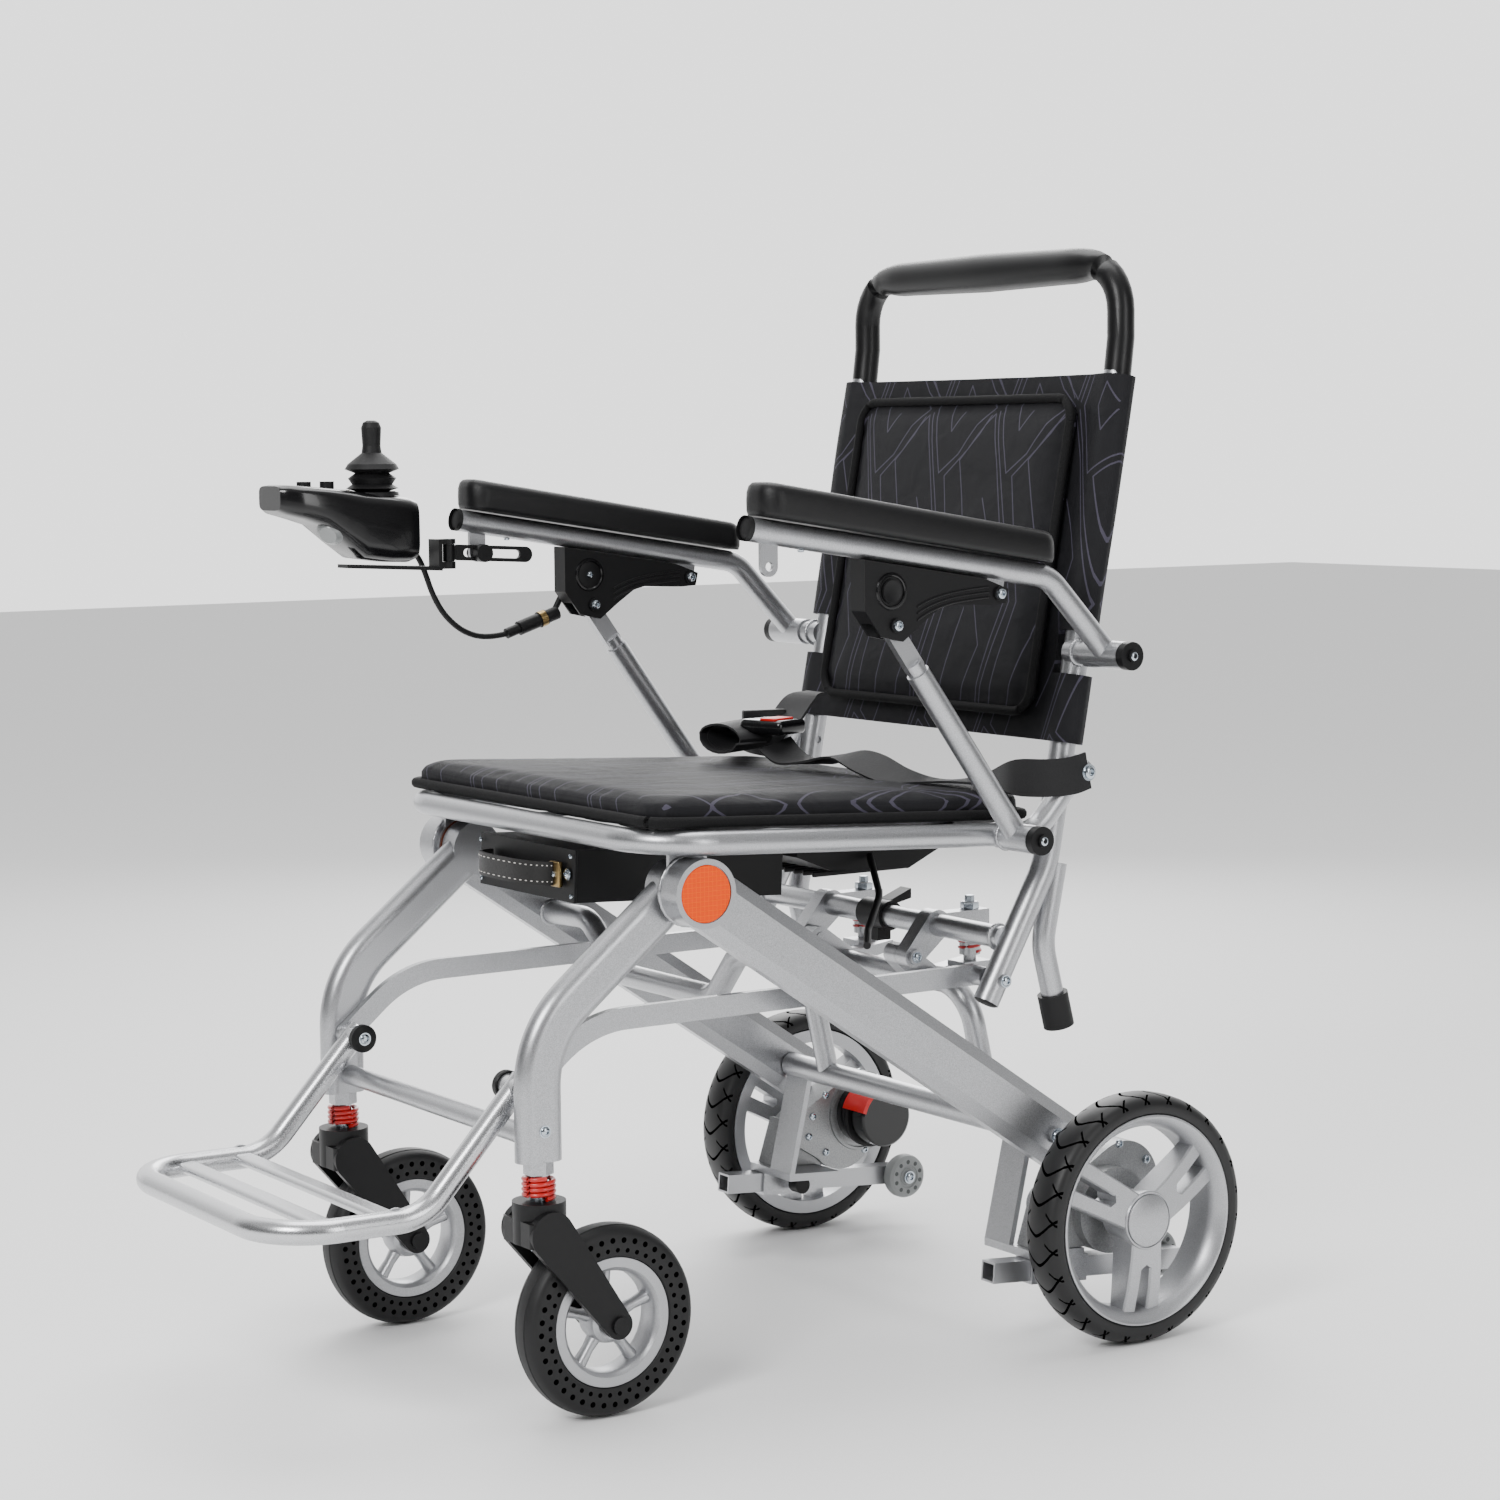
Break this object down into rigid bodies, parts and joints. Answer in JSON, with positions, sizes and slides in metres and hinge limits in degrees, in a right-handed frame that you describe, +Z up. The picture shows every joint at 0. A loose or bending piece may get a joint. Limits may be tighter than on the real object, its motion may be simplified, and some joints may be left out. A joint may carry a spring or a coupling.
{
  "type": "power wheelchair",
  "caption": "Folding power wheelchair with padded seat and back, flip-up armrests, joystick controller, sprung front casters, motored rear wheels and a fold-up footrest.",
  "frame": {"origin": "centre of the bounding box on the floor", "axes": "-Y forward (the way the user faces), +X the user's left, +Z up"},
  "size_m": [0.61, 0.9793, 1.0535],
  "materials": {
    "silver_paint": "satin silver with a fine sparkle",
    "bright_aluminium": "brushed",
    "zinc": "zinc plated",
    "red_spring": "gloss red",
    "black_paint": "satin black",
    "black_plastic": "fine grain",
    "gloss_black": "gloss",
    "rim_silver": "fine satin silver",
    "tyre_black": "matt rubber",
    "black_rubber": "matt",
    "cushion_fabric": "woven nylon with a faint line pattern",
    "cover_fabric": "plain woven nylon",
    "pad_vinyl": "grained soft vinyl",
    "belt_web": "webbing",
    "leather_black": "stitched",
    "red_plastic": "gloss",
    "grey_plastic": "translucent grey",
    "cast_aluminium": "bead-blasted casting"
  },
  "bodies": {
    "seat": {"seat_frame": "silver_paint", "seat_cushion": "cushion_fabric", "controller_case": "black_plastic", "lap_belt": "belt_web", "power_leads": "black_rubber"},
    "beams": {"main_frame": "silver_paint"},
    "front": {"front_legs": "silver_paint"},
    "links": {"link_bars": "silver_paint"},
    "foot_plate": {"footrest": "bright_aluminium"},
    "back": {"backrest_frame": "silver_paint", "push_handle": "black_paint", "rear_cross_member": "silver_paint", "foot_caps": "black_rubber", "backrest_cover": "cover_fabric", "backrest_pad": "cushion_fabric"},
    "latch": {"fold_latch": "black_plastic"},
    "rear": {"rear_subframe": "silver_paint", "drive_units": "cast_aluminium"},
    "upper_pivots": {"armrest_pivots": "black_plastic"},
    "lower_pivots": {"strut_pivots": "black_plastic"},
    "battery": {"battery_case": "black_plastic", "battery_handle": "leather_black"},
    "slide_bar": {"joystick_slide": "black_paint"},
    "clamp": {"slide_clamp": "black_plastic"},
    "controller": {"joystick_bracket": "black_paint", "joystick_case": "gloss_black", "joystick_cable": "black_rubber", "cable_plug": "black_plastic"},
    "stick": {"joystick_stick": "black_rubber"},
    "power_key": {"power_button": "black_rubber"},
    "horn_key": {"horn_button": "black_rubber"},
    "stem_left": {"caster_stem_left": "zinc", "caster_spring_left": "red_spring"},
    "fork_left": {"caster_fork_left": "black_plastic"},
    "caster_left": {"caster_wheel_left": "tyre_black"},
    "arm_left": {"armrest_tube_left": "silver_paint", "armrest_pad_left": "pad_vinyl"},
    "housing_left": {"strut_housing_left": "black_plastic"},
    "button_left": {"release_button_left": "black_plastic"},
    "strut_left": {"armrest_strut_left": "silver_paint"},
    "lever_left": {"freewheel_lever_left": "red_plastic"},
    "wheel_left": {"rear_wheel_left": "rim_silver"},
    "tip_bar_left": {"anti_tip_bar_left": "silver_paint"},
    "tip_wheel_left": {"anti_tip_wheel_left": "grey_plastic"},
    "knob_left": {"lock_knob_left": "black_plastic"},
    "stem_right": {"caster_stem_right": "zinc", "caster_spring_right": "red_spring"},
    "fork_right": {"caster_fork_right": "black_plastic"},
    "caster_right": {"caster_wheel_right": "tyre_black"},
    "arm_right": {"armrest_tube_right": "silver_paint", "armrest_pad_right": "pad_vinyl", "arm_lead": "black_rubber"},
    "housing_right": {"strut_housing_right": "black_plastic"},
    "button_right": {"release_button_right": "black_plastic"},
    "strut_right": {"armrest_strut_right": "silver_paint"},
    "lever_right": {"freewheel_lever_right": "red_plastic"},
    "wheel_right": {"rear_wheel_right": "rim_silver"},
    "tip_bar_right": {"anti_tip_bar_right": "silver_paint"},
    "tip_wheel_right": {"anti_tip_wheel_right": "grey_plastic"},
    "knob_right": {"lock_knob_right": "black_plastic"}
  },
  "joints": [
    {"name": "fold", "type": "hinge", "parent": "seat", "child": "back", "pos_m": [0, 0.33535, 0.551], "axis": [1, 0, 0], "range_deg": [0, 37]},
    {"name": "front_fold", "type": "hinge", "parent": "seat", "child": "front", "pos_m": [0, -0.09165, 0.4695], "axis": [1, 0, 0], "range_deg": [0, 38.74]},
    {"name": "link_fold", "type": "hinge", "parent": "front", "child": "links", "pos_m": [0, -0.24165, 0.3], "axis": [1, 0, 0], "range_deg": [-33.1, 0]},
    {"name": "beam_fold", "type": "hinge", "parent": "seat", "child": "beams", "pos_m": [0, -0.09165, 0.4695], "axis": [1, 0, 0], "range_deg": [0, 0.493]},
    {"name": "rear_fold", "type": "hinge", "parent": "back", "child": "rear", "pos_m": [0, 0.24235, 0.363], "axis": [1, 0, 0], "range_deg": [-81.2, 0]},
    {"name": "upper_pivot_fold", "type": "hinge", "parent": "back", "child": "upper_pivots", "pos_m": [0, 0.34985, 0.664], "axis": [1, 0, 0], "range_deg": [-22.24, 0]},
    {"name": "lower_pivot_fold", "type": "hinge", "parent": "seat", "child": "lower_pivots", "pos_m": [0, 0.24135, 0.49712], "axis": [1, 0, 0], "range_deg": [0, 25.1]},
    {"name": "footrest_fold", "type": "hinge", "parent": "front", "child": "foot_plate", "pos_m": [0, -0.24165, 0.3], "axis": [1, 0, 0], "range_deg": [-75, 0]},
    {"name": "latch_turn", "type": "hinge", "parent": "back", "child": "latch", "pos_m": [0, 0.27135, 0.392], "axis": [1, 0, 0], "range_deg": [0, 25]},
    {"name": "battery_slide", "type": "slide", "parent": "seat", "child": "battery", "axis": [0, -0.9987, 0.0516], "range_m": [0, 0.24]},
    {"name": "caster_suspension_left", "type": "slide", "parent": "front", "child": "stem_left", "axis": [0, 0, 1], "range_m": [0, 0.006], "stiffness_N_per_m": 20000, "deforming": ["caster_spring_left"]},
    {"name": "caster_swivel_left", "type": "hinge", "parent": "stem_left", "child": "fork_left", "pos_m": [0.1905, -0.23915, 0.2], "axis": [0, 0, 1], "continuous": true},
    {"name": "caster_spin_left", "type": "hinge", "parent": "fork_left", "child": "caster_left", "pos_m": [0.1905, -0.17415, 0.0874], "axis": [1, 0, 0], "continuous": true},
    {"name": "armrest_flip_left", "type": "hinge", "parent": "upper_pivots", "child": "arm_left", "pos_m": [0.264, 0.34985, 0.664], "axis": [1, 0, 0], "range_deg": [-80, 0]},
    {"name": "housing_fold_left", "type": "hinge", "parent": "arm_left", "child": "housing_left", "pos_m": [0.264, 0.21035, 0.727], "axis": [1, 0, 0], "range_deg": [0, 102.7]},
    {"name": "strut_fold_left", "type": "hinge", "parent": "lower_pivots", "child": "strut_left", "pos_m": [0.264, 0.24135, 0.49712], "axis": [1, 0, 0], "range_deg": [-47.05, 0]},
    {"name": "release_push_left", "type": "slide", "parent": "housing_left", "child": "button_left", "axis": [-1, 0, 0], "range_m": [0, 0.0012], "stiffness_N_per_m": 1200},
    {"name": "freewheel_turn_left", "type": "hinge", "parent": "rear", "child": "lever_left", "pos_m": [0.184, 0.39335, 0.14], "axis": [1, 0, 0], "range_deg": [-40, 0]},
    {"name": "wheel_spin_left", "type": "hinge", "parent": "rear", "child": "wheel_left", "pos_m": [0.282, 0.36835, 0.1213], "axis": [1, 0, 0], "continuous": true},
    {"name": "tip_bar_slide_left", "type": "slide", "parent": "rear", "child": "tip_bar_left", "axis": [0, 0.9965, -0.083], "range_m": [0, 0.04]},
    {"name": "tip_wheel_spin_left", "type": "hinge", "parent": "tip_bar_left", "child": "tip_wheel_left", "pos_m": [0.211, 0.45635, 0.0582], "axis": [1, 0, 0], "continuous": true},
    {"name": "knob_pull_left", "type": "slide", "parent": "rear", "child": "knob_left", "axis": [-1, 0, 0], "range_m": [0, 0.004], "stiffness_N_per_m": 1200},
    {"name": "caster_suspension_right", "type": "slide", "parent": "front", "child": "stem_right", "axis": [0, 0, 1], "range_m": [0, 0.006], "stiffness_N_per_m": 20000, "deforming": ["caster_spring_right"]},
    {"name": "caster_swivel_right", "type": "hinge", "parent": "stem_right", "child": "fork_right", "pos_m": [-0.1905, -0.23915, 0.2], "axis": [0, 0, 1], "continuous": true},
    {"name": "caster_spin_right", "type": "hinge", "parent": "fork_right", "child": "caster_right", "pos_m": [-0.1905, -0.17415, 0.0874], "axis": [1, 0, 0], "continuous": true},
    {"name": "armrest_flip_right", "type": "hinge", "parent": "upper_pivots", "child": "arm_right", "pos_m": [-0.264, 0.34985, 0.664], "axis": [1, 0, 0], "range_deg": [-80, 0]},
    {"name": "housing_fold_right", "type": "hinge", "parent": "arm_right", "child": "housing_right", "pos_m": [-0.264, 0.21035, 0.727], "axis": [1, 0, 0], "range_deg": [0, 102.7]},
    {"name": "strut_fold_right", "type": "hinge", "parent": "lower_pivots", "child": "strut_right", "pos_m": [-0.264, 0.24135, 0.49712], "axis": [1, 0, 0], "range_deg": [-47.05, 0]},
    {"name": "release_push_right", "type": "slide", "parent": "housing_right", "child": "button_right", "axis": [1, 0, 0], "range_m": [0, 0.0012], "stiffness_N_per_m": 1200},
    {"name": "freewheel_turn_right", "type": "hinge", "parent": "rear", "child": "lever_right", "pos_m": [-0.184, 0.39335, 0.14], "axis": [1, 0, 0], "range_deg": [-40, 0]},
    {"name": "wheel_spin_right", "type": "hinge", "parent": "rear", "child": "wheel_right", "pos_m": [-0.282, 0.36835, 0.1213], "axis": [1, 0, 0], "continuous": true},
    {"name": "tip_bar_slide_right", "type": "slide", "parent": "rear", "child": "tip_bar_right", "axis": [0, 0.9965, -0.083], "range_m": [0, 0.04]},
    {"name": "tip_wheel_spin_right", "type": "hinge", "parent": "tip_bar_right", "child": "tip_wheel_right", "pos_m": [-0.211, 0.45635, 0.0582], "axis": [1, 0, 0], "continuous": true},
    {"name": "knob_pull_right", "type": "slide", "parent": "rear", "child": "knob_right", "axis": [1, 0, 0], "range_m": [0, 0.004], "stiffness_N_per_m": 1200},
    {"name": "joystick_reach", "type": "slide", "parent": "arm_right", "child": "slide_bar", "axis": [0, 0.9986, -0.0523], "range_m": [-0.04, 0]},
    {"name": "clamp_turn", "type": "hinge", "parent": "arm_right", "child": "clamp", "pos_m": [-0.262, -0.03865, 0.7587], "axis": [1, 0, 0], "continuous": true},
    {"name": "joystick_swing", "type": "hinge", "parent": "slide_bar", "child": "controller", "pos_m": [-0.2574, -0.07465, 0.76], "axis": [0, 0, 1], "range_deg": [0, 85]},
    {"name": "stick_tilt", "type": "hinge", "parent": "controller", "child": "stick", "pos_m": [-0.262, -0.15665, 0.812], "axis": [1, 0, 0], "range_deg": [-3, 3], "stiffness_Nm_per_rad": 0.3},
    {"name": "power_press", "type": "slide", "parent": "controller", "child": "power_key", "axis": [0, 0, -1], "range_m": [0, 0.0012], "stiffness_N_per_m": 800},
    {"name": "horn_press", "type": "slide", "parent": "controller", "child": "horn_key", "axis": [0, 0, -1], "range_m": [0, 0.0012], "stiffness_N_per_m": 800}
  ],
  "couplings": [
    {"joint": "front_fold", "follows": "fold", "ratio": 1.046},
    {"joint": "link_fold", "follows": "fold", "ratio": -0.8938},
    {"joint": "beam_fold", "follows": "fold", "ratio": 0.0133},
    {"joint": "rear_fold", "follows": "fold", "ratio": -2.1924},
    {"joint": "upper_pivot_fold", "follows": "fold", "ratio": -0.6004},
    {"joint": "lower_pivot_fold", "follows": "fold", "ratio": 0.6778},
    {"joint": "housing_fold_left", "follows": "armrest_flip_left", "ratio": -1.2825},
    {"joint": "strut_fold_left", "follows": "armrest_flip_left", "ratio": 0.5875},
    {"joint": "housing_fold_right", "follows": "armrest_flip_right", "ratio": -1.2825},
    {"joint": "strut_fold_right", "follows": "armrest_flip_right", "ratio": 0.5875}
  ]
}
